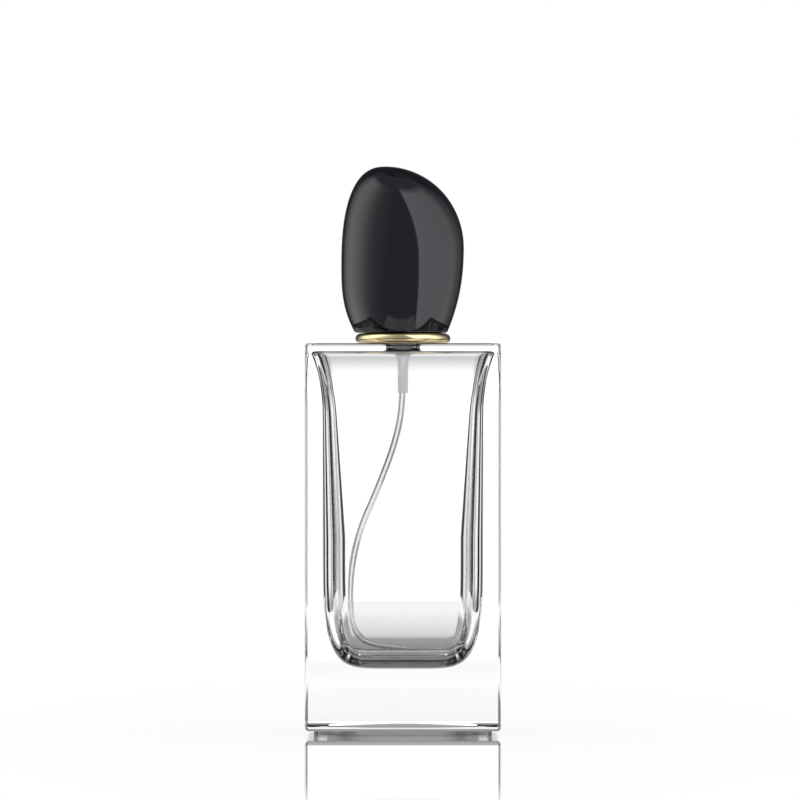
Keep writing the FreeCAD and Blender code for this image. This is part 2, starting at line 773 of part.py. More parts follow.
def make_button_core():
    """The push button's moulded core: stem socket, channel, and a recess with a post for the nozzle."""
    core = new_body("actuator_core")
    revolve(core, [
        ("skirt_bore_radius", "button_foot + skirt_setback"),
        ("button_core_radius", "button_foot + skirt_setback"),
        ("button_core_radius", "button_core_top"),
        ("0", "button_core_top"),
        ("0", "channel_height"),
        ("channel_bore / 2", "channel_height"),
        ("channel_bore / 2", "stem_top"),
        ("stem_radius", "stem_top"),
        ("stem_radius", "hub_foot"),
        ("skirt_bore_radius", "hub_foot"),
    ])
    rim = circle_edges(core.Shape, "button_core_radius", "button_core_top")
    fillet(core, "top", rim, "button_edge - button_wall")
    recess = "drill_start - nozzle_back"
    rings = ["nozzle_radius", "post_width / 2"]
    drill(core, "nozzle", rings, "nozzle_height", "drill_start", f"{recess} + swirl_gap")
    drill(core, "post", ["post_width"], "nozzle_height", "drill_start", f"{recess} - post_length")
    drill(core, "channel", ["channel_bore / 2"], "channel_height", "drill_start", "drill_start")


def make_button_shell():
    """The drawn metal shell over the button's core, with a round window for the nozzle."""
    shell = new_body("actuator_shell")
    revolve(shell, [
        ("button_core_radius", "button_foot"),
        ("button_radius", "button_foot"),
        ("button_radius", "button_top"),
        ("0", "button_top"),
        ("0", "button_core_top"),
        ("button_core_radius", "button_core_top"),
    ])
    fillet(shell, "outside", circle_edges(shell.Shape, "button_radius", "button_top"), "button_edge")
    inner = circle_edges(shell.Shape, "button_core_radius", "button_core_top")
    fillet(shell, "inside", inner, "button_edge - button_wall")
    hole = ["nozzle_radius + nozzle_hole_play"]
    drill(shell, "nozzle", hole, "nozzle_height", "drill_start", "drill_start")


def make_nozzle():
    """The mist nozzle: a small cup over the core's post, with a dished face and a fine orifice."""
    body = new_body("nozzle_insert")
    revolve(body, [
        ("post_width / 2 + post_play", "0"),
        ("nozzle_radius", "0"),
        ("nozzle_radius", "nozzle_length"),
        ("nozzle_radius / 2", "nozzle_length"),
        ("nozzle_orifice / 2", "nozzle_length - nozzle_dish"),
        ("nozzle_orifice / 2", "nozzle_length - nozzle_wall"),
        ("post_width / 2 + post_play", "nozzle_length - nozzle_wall"),
    ])
    body.Placement = FreeCAD.Placement(FreeCAD.Vector(), FreeCAD.Rotation(FreeCAD.Vector(1, 0, 0), 90))
    bind(body, ".Placement.Base.y", "0 - (nozzle_back)")
    bind(body, ".Placement.Base.z", "nozzle_height")


def make_collar():
    """The gold collar, a bead on the shoulder with a sleeve above it, and the plastic ring inside it."""
    collar = new_body("collar_ring")
    revolve(collar, [
        ("bead_bore_radius", "collar_foot"),
        ("collar_radius", "collar_foot"),
        ("collar_radius", "bead_top"),
        ("sleeve_radius", "bead_top"),
        ("sleeve_radius", "sleeve_top"),
        ("mouth_radius", "sleeve_top"),
        ("mouth_radius", "sleeve_top - sleeve_wall"),
        ("sleeve_bore_radius", "sleeve_top - sleeve_wall"),
        ("sleeve_bore_radius", "collar_deck_foot"),
        ("bead_bore_radius", "collar_deck_foot"),
    ])
    rims = circle_edges(collar.Shape, "collar_radius", "collar_foot")
    rims += circle_edges(collar.Shape, "collar_radius", "bead_top")
    fillet(collar, "bead", rims, "collar_bead_edge")
    fillet(collar, "sleeve", circle_edges(collar.Shape, "sleeve_radius", "sleeve_top"), "sleeve_edge")

    revolve(new_body("collar_insert"), [
        ("insert_bore_radius", "collar_foot"),
        ("bead_bore_radius - insert_play", "collar_foot"),
        ("bead_bore_radius - insert_play", "collar_deck_foot"),
        ("insert_radius", "collar_deck_foot"),
        ("insert_radius", "sleeve_top - insert_setback"),
        ("insert_bore_radius", "sleeve_top - insert_setback"),
        ("insert_bore_radius", "insert_lip_foot + insert_lip"),
        ("mouth_radius", "insert_lip_foot + insert_lip"),
        ("mouth_radius", "insert_lip_foot"),
        ("insert_bore_radius", "insert_lip_foot"),
    ])


def pebble_side(height, side, powers, lean):
    """How far a side of the cap stands from the upright axis at a height above the cap's mouth."""
    reach = value(f"cap_{side}")
    belly = value(f"{side}_belly")
    if height < belly:
        return reach - value(f"{side}_tuck") * ((belly - height) / belly) ** powers[1]
    rise = (height - belly) / (value("cap_height") - belly)
    return lean + (reach - lean) * max(1 - rise ** powers[0], 0) ** (1 / powers[0])


def pebble_ring(height):
    """A closed smooth section of the cap at a height above its mouth."""
    lean = value("cap_lean")
    left = pebble_side(height, "left", LEFT_POWERS, lean)
    right = pebble_side(height, "right", RIGHT_POWERS, -lean)
    front = pebble_side(height, "front", FRONT_POWERS, 0)
    middle = (right - left) / 2
    half = (right + left) / 2
    points = []
    for spoke in range(CAP_SPOKES):
        angle = 2 * math.pi * spoke / CAP_SPOKES
        across = middle + half * math.cos(angle)
        points.append(FreeCAD.Vector(across, front * math.sin(angle), height + value("cap_foot")))
    curve = Part.BSplineCurve()
    curve.interpolate(Points=points, PeriodicFlag=True)
    return Part.Wire([curve.toShape()])


def make_cap():
    """The pebble cap, lofted through rings that crowd towards its top, and bored for its liner."""
    rings = []
    for step in range(CAP_RINGS):
        rise = 1 - (1 - step / CAP_RINGS) ** 2
        rings.append(pebble_ring(rise * value("cap_height")))
    apex = Part.Vertex(-value("cap_lean"), 0, value("cap_top"))
    pebble = Part.makeLoft(rings + [apex], True, False)
    bore = Part.makeCylinder(
        value("liner_radius"),
        value("liner_top") - value("cap_foot") + 1,
        FreeCAD.Vector(0, 0, value("cap_foot") - 1),
    )
    cap = doc.addObject("Part::Feature", "cap_shell")
    cap.Label = "cap_shell"
    hollow = pebble.cut(bore)
    rims = [hollow.getElement(name) for name in level_edges(hollow, "cap_foot")]
    mouth = max(rims, key=lambda edge: edge.Length)
    cap.Shape = hollow.makeFillet(value("mouth_edge"), [mouth])
    parts.append(cap)


def make_liner():
    """The cap's liner: a cup whose ribs grip the collar's sleeve."""
    body = new_body("cap_insert")
    revolve(body, [
        ("liner_bore_radius", "liner_foot"),
        ("liner_radius", "liner_foot"),
        ("liner_radius", "liner_top"),
        ("0", "liner_top"),
        ("0", "liner_ceiling"),
        ("liner_bore_radius", "liner_ceiling"),
    ])
    sketch = new_sketch(body, "rib", "XY_Plane", "liner_foot")
    draw_outline(sketch, [
        ("rib_radius", "0 - rib_width / 2"),
        ("liner_bore_radius + liner_wall / 2", "0 - rib_width / 2"),
        ("liner_bore_radius + liner_wall / 2", "rib_width / 2"),
        ("rib_radius", "rib_width / 2"),
    ])
    rib = pad(body, "rib", sketch, "rib_height")
    ribs = body.newObject("PartDesign::PolarPattern", "liner_ribs")
    ribs.Originals = [rib]
    ribs.Axis = (sketch, ["N_Axis"])
    ribs.Angle = 360
    bind(ribs, "Occurrences", "rib_count")
    body.Tip = ribs
    doc.recompute()


def tube_points():
    """The dip tube's route: straight down out of its socket, aside, and back along the floor."""
    top = value("tail_foot")
    drop = top - value("base_thickness")
    half = value("hollow_width") / 2
    points = [FreeCAD.Vector(0, 0, value("tube_stop"))]
    for across, down in TUBE_ROUTE:
        points.append(FreeCAD.Vector(across * half, 0, top - down * drop))
    return points


def tangent_path(points):
    """A wire of straight runs joined by tangent arcs, and the arcs' radii."""
    edges = []
    radii = []
    start = points[0]
    for before, corner, after in zip(points, points[1:], points[2:]):
        back = (before - corner).normalize()
        ahead = (after - corner).normalize()
        turn = math.pi - back.getAngle(ahead)
        room = ARC_SHARE * min((before - corner).Length, (after - corner).Length)
        radii.append(room / math.tan(turn / 2))
        middle = (back + ahead).normalize()
        centre = corner + middle * math.hypot(room, radii[-1])
        first = corner + back * room
        last = corner + ahead * room
        edges.append(Part.LineSegment(start, first).toShape())
        edges.append(Part.Arc(first, centre - middle * radii[-1], last).toShape())
        start = last
    edges.append(Part.LineSegment(start, points[-1]).toShape())
    return Part.Wire(edges), radii


def make_tube():
    """The clear dip tube, hollow all along."""
    points = tube_points()
    path, radii = tangent_path(points)
    print("dip tube radii:", " ".join(f"{radius:.0f}" for radius in radii), "length:", round(path.Length, 1))
    solids = []
    for width in ("tube_width", "tube_bore"):
        circle = Part.makeCircle(value(width) / 2, points[0], points[1] - points[0])
        solids.append(path.makePipeShell([Part.Wire([circle])], True, False))
    tube = doc.addObject("Part::Feature", "dip_tube")
    tube.Label = "dip_tube"
    tube.Shape = solids[0].cut(solids[1])
    parts.append(tube)


def check_parts():
    """Stop if any object has failed, or a sub-part has no single valid shape."""
    doc.recompute()
    for item in doc.Objects:
        if "Invalid" in item.State or "Error" in item.State:
            raise RuntimeError(f"{item.Label} failed: {item.State}")
    for part in parts:
        shape = part.Shape
        if shape.isNull() or not shape.isValid() or len(shape.Solids) != 1:
            raise RuntimeError(f"{part.Label} has no single valid solid")


def write_parts():
    """Write each sub-part to its own file."""
    os.makedirs("parts", exist_ok=True)
    for part in parts:
        part.Shape.exportStep(f"parts/{part.Label}.step")
        print(part.Label, round(part.Shape.Volume, 2))


fill_sheet()
make_glass()
make_neck_pieces()
make_housing()
make_turret()
make_valve_core()
make_piston()
make_stem()
make_springs()
make_ball()
make_button_core()
make_button_shell()
make_nozzle()
make_collar()
make_cap()
make_liner()
make_tube()
check_parts()
write_parts()
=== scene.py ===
"""The look of a clear glass aftershave spray bottle: fine meshes, materials, studio light and the camera.

Lengths are millimetres in the shape functions, and MM turns them into the frame's metres.
"""
import json
import math

import bmesh
import bpy
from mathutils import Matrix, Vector


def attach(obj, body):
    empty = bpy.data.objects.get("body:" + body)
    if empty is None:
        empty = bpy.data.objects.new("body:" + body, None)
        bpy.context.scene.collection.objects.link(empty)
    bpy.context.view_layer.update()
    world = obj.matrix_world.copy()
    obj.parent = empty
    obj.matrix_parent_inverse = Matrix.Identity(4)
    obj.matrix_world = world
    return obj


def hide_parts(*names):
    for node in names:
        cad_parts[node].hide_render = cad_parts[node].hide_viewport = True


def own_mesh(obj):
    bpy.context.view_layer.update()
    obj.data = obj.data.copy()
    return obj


MM = 0.001

# Glass body. Its outside is the CAD model's, and its hollow is a little wider, with rounder edges.
BODY_WIDTH = 53.0
BODY_DEPTH = 38.0
BODY_HEIGHT = 106.2
SIDE_EDGE = 1.3
SHOULDER_EDGE = 0.9
BASE_EDGE = 1.3
FOOT_HEIGHT = 1.3
FOOT_INSET = 2.4
FOOT_CORNER = 2.0
FOOT_BEVEL = 0.3
RECESS_INSET = 6.0
RECESS_HEIGHT = 2.4
RECESS_CORNER = 8.0
RECESS_EDGE = 0.8
RECESS_DOME = 0.5
BASE_THICKNESS = 17.8
SHOULDER_WALL = 2.1
SIDE_WALL = 4.7
FRONT_WALL = 3.3
HOLLOW_TOP = BODY_HEIGHT - SHOULDER_WALL
HOLLOW_HALF = (BODY_WIDTH / 2 - SIDE_WALL, BODY_DEPTH / 2 - FRONT_WALL)
HOLLOW_CORNER = 6.6
FLOOR_HALF = (5.0, 2.5)
FLOOR_CORNER = 2.0
HEEL_HEIGHT = 35.8
WAIST_FOOT = BASE_THICKNESS + HEEL_HEIGHT
FLARE_HEIGHT = 19.0
FLARE = (3.0, 1.4)
FLARE_CORNER = 3.5
FLARE_CORNER_HEIGHT = 11.0
FLARE_CORNER_FOOT = HOLLOW_TOP - FLARE_CORNER_HEIGHT
HEEL_FULLNESS = 4
FLARE_FULLNESS = 2.5
CEILING_EDGE = 0.9
NECK_ROOT_RADIUS = 6.2
NECK_BEAD_RADIUS = 7.45
NECK_BORE_RADIUS = 4.6
NECK_ROOT_HEIGHT = 2.8
NECK_BEAD_HEIGHT = 4.0
BEAD_FOOT = BODY_HEIGHT + NECK_ROOT_HEIGHT
NECK_TOP = BEAD_FOOT + NECK_BEAD_HEIGHT
NECK_SLOPE = 1.2
NECK_EDGE = 0.5
BORE_FLARE = 1.3
STIPPLE_ROUGHNESS = 0.4
STIPPLE_FADE = (RECESS_HEIGHT - 0.3, RECESS_HEIGHT - 0.1)
STIPPLE_MARGIN = 0.1
# Painted glow on the pump housing: full below the first height and gone above the second, near the hollow's
# ceiling.
PAINTED_GLOW_FADE = (HOLLOW_TOP - 1.5, HOLLOW_TOP - 0.5)

# Collar, as in the CAD model but with a rounder bead.
COLLAR_GAP = 0.1
COLLAR_FOOT = BODY_HEIGHT + COLLAR_GAP
COLLAR_BEAD_HEIGHT = 2.8
COLLAR_BEAD_RADIUS = 13.0
COLLAR_BEAD_BORE = 11.7
COLLAR_BEAD_EDGE = 1.39
COLLAR_DECK = 0.6
BEAD_TOP = COLLAR_FOOT + COLLAR_BEAD_HEIGHT
SLEEVE_RADIUS = 9.2
SLEEVE_WALL = 0.5
SLEEVE_HEIGHT = 12.5
SLEEVE_EDGE = 0.4
SLEEVE_MOUTH = 7.3

# Cap. Each side has its reach, the height of its belly, its tuck at the mouth, and the powers that shape it
# above and below the belly.
CAP_GAP = 0.1
CAP_FOOT = BEAD_TOP + CAP_GAP
CAP_TOP = 154.8
CAP_LEAN = 4.7
CAP_LEFT = (16.9, 17.9, 3.8, 2.5, 2.7)
CAP_RIGHT = (16.7, 23.4, 4.6, 2.0, 2.2)
CAP_FRONT = (14.2, 20.3, 2.1, 2.2, 2.4)
CAP_EDGE = 0.5
LINER_RADIUS = 10.6
LINER_TOP = 141.5
LINER_CHAMFER = 0.2

# Pump housing. It is simpler inside than the CAD model's: a plain inlet bore, without the ball's seat.
HOUSING_FOOT = HOLLOW_TOP - 0.8
HOUSING_RADIUS = 4.1
HOUSING_FLANGE_RADIUS = 7.2
HOUSING_FLANGE_FOOT = NECK_TOP + 0.8
HOUSING_FLANGE_TOP = NECK_TOP + 1.8
CONE_TOP_RADIUS = 2.4
CONE_FOOT_RADIUS = 1.6
CONE_HEIGHT = 3.3
TAIL_RADIUS = 1.45
INLET_RADIUS = 0.5
CHAMBER_RADIUS = 2.8
CHAMBER_FLOOR = 104.2
SPIGOT_SEAT_RADIUS = 3.5
SPIGOT_SEAT_DEPTH = 1.2

# Springs: length at rest, length left when pressed, width, wire and turns, as in the CAD model.
RETURN_LENGTH = 6.8
RETURN_WIDTH = 4.4
RETURN_WIRE = 0.4
RETURN_TURNS = 5
SHOULDER_FOOT = 117.72
PISTON_COIL_LENGTH = 3.6
PISTON_COIL_WIDTH = 4.28
PISTON_COIL_WIRE = 0.34
PISTON_COIL_TURNS = 4

# Dip tube: its socket's top and foot, its sizes, and its route below the foot. A route point is a share of
# the hollow's half width and a share of the drop to the floor.
TUBE_STOP = 98.4
TAIL_FOOT = 92.3
TUBE_WIDTH = 1.8
TUBE_BORE = 1.1
TUBE_SOCKET_PLAY = 0.02
TUBE_ROUTE = (
    (0.00, 0.03),
    (-0.09, 0.17),
    (-0.31, 0.34),
    (-0.54, 0.49),
    (-0.65, 0.635),
    (-0.67, 0.775),
    (-0.62, 0.88),
    (-0.41, 0.955),
    (0.04, 0.967),
)

# How finely the meshes are divided.
ARC_STEPS = 10
SIDE_STEPS = 10
EDGE_STEPS = 6
BASE_EDGE_STEPS = 10
SHOULDER_EDGE_STEPS = 8
CEILING_STEPS = 4
FLARE_STEPS = 24
WAIST_STEPS = 12
HEEL_STEPS = 56
UPRIGHT_STEPS = 12
CAP_STEPS = 110
CAP_POINTS = 128
COLLAR_POINTS = 160
HOUSING_POINTS = 64
TUBE_POINTS = 24
TUBE_RESOLUTION = 24
WIRE_POINTS = 10
WIRE_STEPS_PER_TURN = 28
SHARP_ANGLE = 35
WELD_DISTANCE = 1e-7


# ---------------------------------------------------------------- shapes

def rounded_ring(half_x, half_y, corner, z):
    """Points of a rounded rectangle at a height, anticlockwise, with side points crowded to the corners."""
    points = []
    signs = ((1, 1), (-1, 1), (-1, -1), (1, -1))
    for turn, (side_x, side_y) in enumerate(signs):
        centre = Vector((side_x * (half_x - corner), side_y * (half_y - corner), z))
        for step in range(ARC_STEPS + 1):
            angle = math.pi / 2 * (turn + step / ARC_STEPS)
            points.append(centre + corner * Vector((math.cos(angle), math.sin(angle), 0)))
        next_x, next_y = signs[(turn + 1) % 4]
        ahead = Vector((next_x * (half_x - corner), next_y * (half_y - corner), z))
        out = Vector((math.cos(angle), math.sin(angle), 0)) * corner
        for step in range(1, SIDE_STEPS):
            share = (1 - math.cos(math.pi * step / SIDE_STEPS)) / 2
            points.append(centre.lerp(ahead, share) + out)
    return points


def round_ring(radius, z):
    """A circle with as many points as a rounded ring."""
    return rounded_ring(radius, radius, radius, z)


def oval_ring(middle, half_x, half_y, z, count):
    """Points of an ellipse about a middle on the X axis."""
    points = []
    for step in range(count):
        angle = 2 * math.pi * step / count
        points.append(Vector((middle + half_x * math.cos(angle), half_y * math.sin(angle), z)))
    return points


def skin(name, rings, close_ends=True):
    """A mesh over a stack of rings: its ends are closed, or its last ring meets its first. Millimetres in."""
    mesh = bmesh.new()
    rows = [[mesh.verts.new(point * MM) for point in ring] for ring in rings]
    bands = list(zip(rows, rows[1:]))
    if not close_ends:
        bands.append((rows[-1], rows[0]))
    for low, high in bands:
        for index in range(len(low)):
            after = (index + 1) % len(low)
            mesh.faces.new((low[index], low[after], high[after], high[index]))
    if close_ends:
        mesh.faces.new(list(reversed(rows[0])))
        mesh.faces.new(rows[-1])
    return finish_mesh(name, mesh)


def finish_mesh(name, mesh):
    """Weld, orient and shade a mesh, and put it in the scene as a named piece."""
    bmesh.ops.remove_doubles(mesh, verts=mesh.verts, dist=WELD_DISTANCE)
    bmesh.ops.recalc_face_normals(mesh, faces=mesh.faces)
    data = bpy.data.meshes.new(name)
    mesh.to_mesh(data)
    mesh.free()
    data.polygons.foreach_set("use_smooth", [True] * len(data.polygons))
    data.set_sharp_from_angle(angle=math.radians(SHARP_ANGLE))
    piece = bpy.data.objects.new(name, data)
    bpy.context.scene.collection.objects.link(piece)
    weighted = piece.modifiers.new("even_shading", "WEIGHTED_NORMAL")
    weighted.keep_sharp = True
    weighted.weight = 100
    return piece


def fillet_rings(half, corner, edge, z, up, outward, steps=EDGE_STEPS):
    """Rings over a quarter-round edge between a flat at height z and an upright side at the given halves."""
    rings = []
    for step in range(steps + 1):
        angle = math.pi / 2 * step / steps
        inset = edge * (1 - math.sin(angle))
        rise = edge * (1 - math.cos(angle))
        rings.append(rounded_ring(half[0] - inset, half[1] - inset, max(corner - inset, 0), z + up * rise))
    return rings if outward else rings[::-1]


def hollow_ring(z, spread, floor_share=0):
    """A section of the hollow at a height: flared by a spread, or drawn in towards the floor by a share."""
    narrowing = max(0, FLARE_CORNER_FOOT - z) / (FLARE_CORNER_FOOT - WAIST_FOOT)
    corner = FLARE_CORNER + (HOLLOW_CORNER - FLARE_CORNER) * min(narrowing, 1)
    corner += (FLOOR_CORNER - HOLLOW_CORNER) * floor_share
    halves = []
    for waist, flare, floor in zip(HOLLOW_HALF, FLARE, FLOOR_HALF):
        halves.append(waist + flare * spread + (floor - waist) * floor_share)
    return rounded_ring(*halves, corner, z)


def hollow_rings():
    """The hollow of the glass, from its ceiling down to its floor."""
    rings = []
    top = [HOLLOW_HALF[axis] + FLARE[axis] for axis in (0, 1)]
    for step in range(CEILING_STEPS + 1):
        angle = math.pi / 2 * step / CEILING_STEPS
        inset = CEILING_EDGE * (1 - math.sin(angle))
        drop = CEILING_EDGE * (1 - math.cos(angle))
        rings.append(rounded_ring(top[0] - inset, top[1] - inset, FLARE_CORNER - inset, HOLLOW_TOP - drop))
    for step in range(1, FLARE_STEPS + 1):
        share = 1 - step / FLARE_STEPS
        z = HOLLOW_TOP - CEILING_EDGE - (FLARE_HEIGHT - CEILING_EDGE) * (1 - share)
        rings.append(hollow_ring(z, share ** FLARE_FULLNESS))
    waist_top = HOLLOW_TOP - FLARE_HEIGHT
    for step in range(1, WAIST_STEPS):
        rings.append(hollow_ring(waist_top + (WAIST_FOOT - waist_top) * step / WAIST_STEPS, 0))
    power = 2 / HEEL_FULLNESS
    for step in range(HEEL_STEPS + 1):
        angle = math.pi / 2 * (1 - (1 - step / HEEL_STEPS) ** 2)
        inward = 1 - math.cos(angle) ** power if step < HEEL_STEPS else 1
        rings.append(hollow_ring(WAIST_FOOT - HEEL_HEIGHT * math.sin(angle) ** power, 0, inward))
    return rings


def base_rings(half):
    """The underside of the glass, from the middle of its recess out to the foot's upper edge."""
    recess = (half[0] - RECESS_INSET, half[1] - RECESS_INSET)
    foot = (half[0] - FOOT_INSET, half[1] - FOOT_INSET)
    rings = []
    for share in (0, 0.25, 0.5, 0.75):
        crown = [share * (side - RECESS_EDGE) for side in recess]
        lift = RECESS_DOME * (1 - share ** 2)
        rings.append(rounded_ring(*crown, share * RECESS_CORNER, RECESS_HEIGHT + lift))
    rings += fillet_rings(recess, RECESS_CORNER, RECESS_EDGE, RECESS_HEIGHT, -1, True)
    rings.append(rounded_ring(*recess, RECESS_CORNER, 0))
    rings += fillet_rings(foot, FOOT_CORNER, FOOT_BEVEL, 0, 1, True)
    rings.append(rounded_ring(*foot, FOOT_CORNER, FOOT_HEIGHT))
    return rings


def outside_rings(half):
    """The upright outside of the glass, with its base and shoulder edges."""
    rings = fillet_rings(half, SIDE_EDGE, BASE_EDGE, FOOT_HEIGHT, 1, True, BASE_EDGE_STEPS)
    low = FOOT_HEIGHT + BASE_EDGE
    high = BODY_HEIGHT - SHOULDER_EDGE
    for step in range(1, UPRIGHT_STEPS):
        rings.append(rounded_ring(*half, SIDE_EDGE, low + (high - low) * step / UPRIGHT_STEPS))
    rings += fillet_rings(half, SIDE_EDGE, SHOULDER_EDGE, BODY_HEIGHT, -1, False, SHOULDER_EDGE_STEPS)
    return rings


def neck_rings():
    """The neck up its outside and down its bore, which widens into the hollow."""
    rings = [
        round_ring(NECK_ROOT_RADIUS, BODY_HEIGHT),
        round_ring(NECK_ROOT_RADIUS, BEAD_FOOT),
        round_ring(NECK_BEAD_RADIUS, BEAD_FOOT + NECK_SLOPE),
        round_ring(NECK_BEAD_RADIUS, NECK_TOP - NECK_EDGE),
        round_ring(NECK_BEAD_RADIUS - NECK_EDGE, NECK_TOP),
        round_ring(NECK_BORE_RADIUS, NECK_TOP),
    ]
    for step in range(EDGE_STEPS + 1):
        angle = math.pi / 2 * step / EDGE_STEPS
        rings.append(round_ring(
            NECK_BORE_RADIUS + BORE_FLARE * (1 - math.cos(angle)),
            HOLLOW_TOP + BORE_FLARE * (1 - math.sin(angle)),
        ))
    return rings


def make_glass():
    """The glass as one closed skin: base, outside, neck and hollow."""
    half = (BODY_WIDTH / 2, BODY_DEPTH / 2)
    return skin("glass_body", base_rings(half) + outside_rings(half) + neck_rings() + hollow_rings())


def pebble_side(height, side, lean):
    """How far a side of the cap stands from the upright axis at a height above the cap's mouth."""
    reach, belly, tuck, upper, lower = side
    if height < belly:
        return reach - tuck * ((belly - height) / belly) ** lower
    rise = (height - belly) / (CAP_TOP - CAP_FOOT - belly)
    return lean + (reach - lean) * max(1 - rise ** upper, 0) ** (1 / upper)


def cap_ring(radius, z):
    """A circle with as many points as a section of the cap."""
    return oval_ring(0, radius, radius, z, CAP_POINTS)


def pebble_ring(height, inset):
    """A section of the cap at a height above its mouth, drawn in by an inset."""
    left = pebble_side(height, CAP_LEFT, CAP_LEAN) - inset
    right = pebble_side(height, CAP_RIGHT, -CAP_LEAN) - inset
    front = pebble_side(height, CAP_FRONT, 0) - inset
    return oval_ring((right - left) / 2, (right + left) / 2, front, CAP_FOOT + height, CAP_POINTS)


def make_cap():
    """The cap's shell: the bore for its liner, a round mouth edge and the pebble outside."""
    rings = [
        cap_ring(LINER_RADIUS, LINER_TOP),
        cap_ring(LINER_RADIUS, CAP_FOOT + LINER_CHAMFER),
        cap_ring(LINER_RADIUS + LINER_CHAMFER, CAP_FOOT),
    ]
    for step in range(EDGE_STEPS + 1):
        angle = math.pi / 2 * step / EDGE_STEPS
        rings.append(pebble_ring(CAP_EDGE * (1 - math.cos(angle)), CAP_EDGE * (1 - math.sin(angle))))
    whole = CAP_TOP - CAP_FOOT
    for step in range(1, CAP_STEPS):
        rise = 1 - (1 - step / CAP_STEPS) ** 2
        rings.append(pebble_ring(CAP_EDGE + rise * (whole - CAP_EDGE), 0))
    last = 1 - (1 / (8 * CAP_STEPS)) ** 2
    rings.append(pebble_ring(last * whole, 0))
    return skin("cap_pebble", rings)


def rounded_profile(corners):
    """A closed outline of (radius, height, fillet) corners, with an arc at each corner that has a fillet."""
    points = []
    for index, (radius, height, fillet) in enumerate(corners):
        corner = Vector((radius, height))
        if not fillet:
            points.append(corner)
            continue
        before = Vector(corners[index - 1][:2])
        after = Vector(corners[(index + 1) % len(corners)][:2])
        back = (before - corner).normalized()
        ahead = (after - corner).normalized()
        half_turn = back.angle(ahead) / 2
        room = fillet / math.tan(half_turn)
        centre = corner + (back + ahead).normalized() * fillet / math.sin(half_turn)
        first = corner + back * room - centre
        last = corner + ahead * room - centre
        for step in range(EDGE_STEPS + 1):
            points.append(centre + first.slerp(last, step / EDGE_STEPS) * fillet)
    return points


def lathe(name, corners, count):
    """A ring-shaped piece: a closed outline turned about the upright axis."""
    rings = []
    for point in rounded_profile(corners):
        rings.append([
            Vector((point.x * math.cos(angle), point.x * math.sin(angle), point.y))
            for angle in [2 * math.pi * step / count for step in range(count)]
        ])
    return skin(name, rings, close_ends=False)


def make_collar():
    """The gold collar: a round bead on the shoulder, with the sleeve that the cap grips above it."""
    sleeve_top = BEAD_TOP + SLEEVE_HEIGHT
    bore = SLEEVE_RADIUS - SLEEVE_WALL
    return lathe("collar_gold", [
        (COLLAR_BEAD_BORE, COLLAR_FOOT, 0.1),
        (COLLAR_BEAD_RADIUS, COLLAR_FOOT, COLLAR_BEAD_EDGE),
        (COLLAR_BEAD_RADIUS, BEAD_TOP, COLLAR_BEAD_EDGE),
        (SLEEVE_RADIUS, BEAD_TOP, 0.15),
        (SLEEVE_RADIUS, sleeve_top, SLEEVE_EDGE),
        (SLEEVE_MOUTH, sleeve_top, 0.12),
        (SLEEVE_MOUTH, sleeve_top - SLEEVE_WALL, 0.12),
        (bore, sleeve_top - SLEEVE_WALL, 0),
        (bore, BEAD_TOP - COLLAR_DECK, 0),
        (COLLAR_BEAD_BORE, BEAD_TOP - COLLAR_DECK, 0),
    ], COLLAR_POINTS)


def make_housing():
    """The pump housing, moulded in one with its flange, cone and tail."""
    cone_foot = HOUSING_FOOT - CONE_HEIGHT
    socket = TUBE_WIDTH / 2 + TUBE_SOCKET_PLAY
    seat = HOUSING_FLANGE_TOP - SPIGOT_SEAT_DEPTH
    return lathe("pump_body", [
        (socket, TAIL_FOOT, 0),
        (TAIL_RADIUS, TAIL_FOOT, 0.12),
        (TAIL_RADIUS, cone_foot, 0.1),
        (CONE_FOOT_RADIUS, cone_foot, 0),
        (CONE_TOP_RADIUS, HOUSING_FOOT, 0.1),
        (HOUSING_RADIUS, HOUSING_FOOT, 0.25),
        (HOUSING_RADIUS, HOUSING_FLANGE_FOOT, 0),
        (HOUSING_FLANGE_RADIUS, HOUSING_FLANGE_FOOT, 0.1),
        (HOUSING_FLANGE_RADIUS, HOUSING_FLANGE_TOP, 0.1),
        (SPIGOT_SEAT_RADIUS, HOUSING_FLANGE_TOP, 0),
        (SPIGOT_SEAT_RADIUS, seat, 0),
        (CHAMBER_RADIUS, seat, 0),
        (CHAMBER_RADIUS, CHAMBER_FLOOR, 0),
        (INLET_RADIUS, CHAMBER_FLOOR, 0),
        (INLET_RADIUS, TUBE_STOP, 0),
        (socket, TUBE_STOP, 0),
    ], HOUSING_POINTS)


def spline_points(route):
    """Points along the smooth line that a route's points control."""
    curve = bpy.data.curves.new("route", "CURVE")
    curve.dimensions = "3D"
    spline = curve.splines.new("NURBS")
    spline.points.add(len(route) - 1)
    for point, place in zip(spline.points, route):
        point.co = (*place, 1)
    spline.order_u = 3
    spline.use_endpoint_u = True
    curve.resolution_u = TUBE_RESOLUTION
    carrier = bpy.data.objects.new("route", curve)
    bpy.context.scene.collection.objects.link(carrier)
    bpy.context.view_layer.update()
    line = bpy.data.meshes.new_from_object(carrier)
    points = [vertex.co.copy() for vertex in line.vertices]
    bpy.data.objects.remove(carrier)
    bpy.data.curves.remove(curve)
    bpy.data.meshes.remove(line)
    return points


def sweep(name, path, radii, count):
    """A round tube or wire along a path in metres: one radius for a wire, outer and inner for a tube."""
    frames = []
    side = Vector((0, 1, 0))
    for index, point in enumerate(path):
        ahead = (path[min(index + 1, len(path) - 1)] - path[max(index - 1, 0)]).normalized()
        side = (side - ahead * side.dot(ahead)).normalized()
        frames.append((point, side.copy(), ahead.cross(side)))
    rings = []
    for radius in radii:
        shell = []
        for point, side_way, up_way in frames:
            ring = []
            for step in range(count):
                angle = 2 * math.pi * step / count
                out = side_way * math.cos(angle) + up_way * math.sin(angle)
                ring.append((point + out * radius * MM) / MM)
            shell.append(ring)
        rings += shell if radius == radii[0] else shell[::-1]
    return skin(name, rings, close_ends=len(radii) == 1)


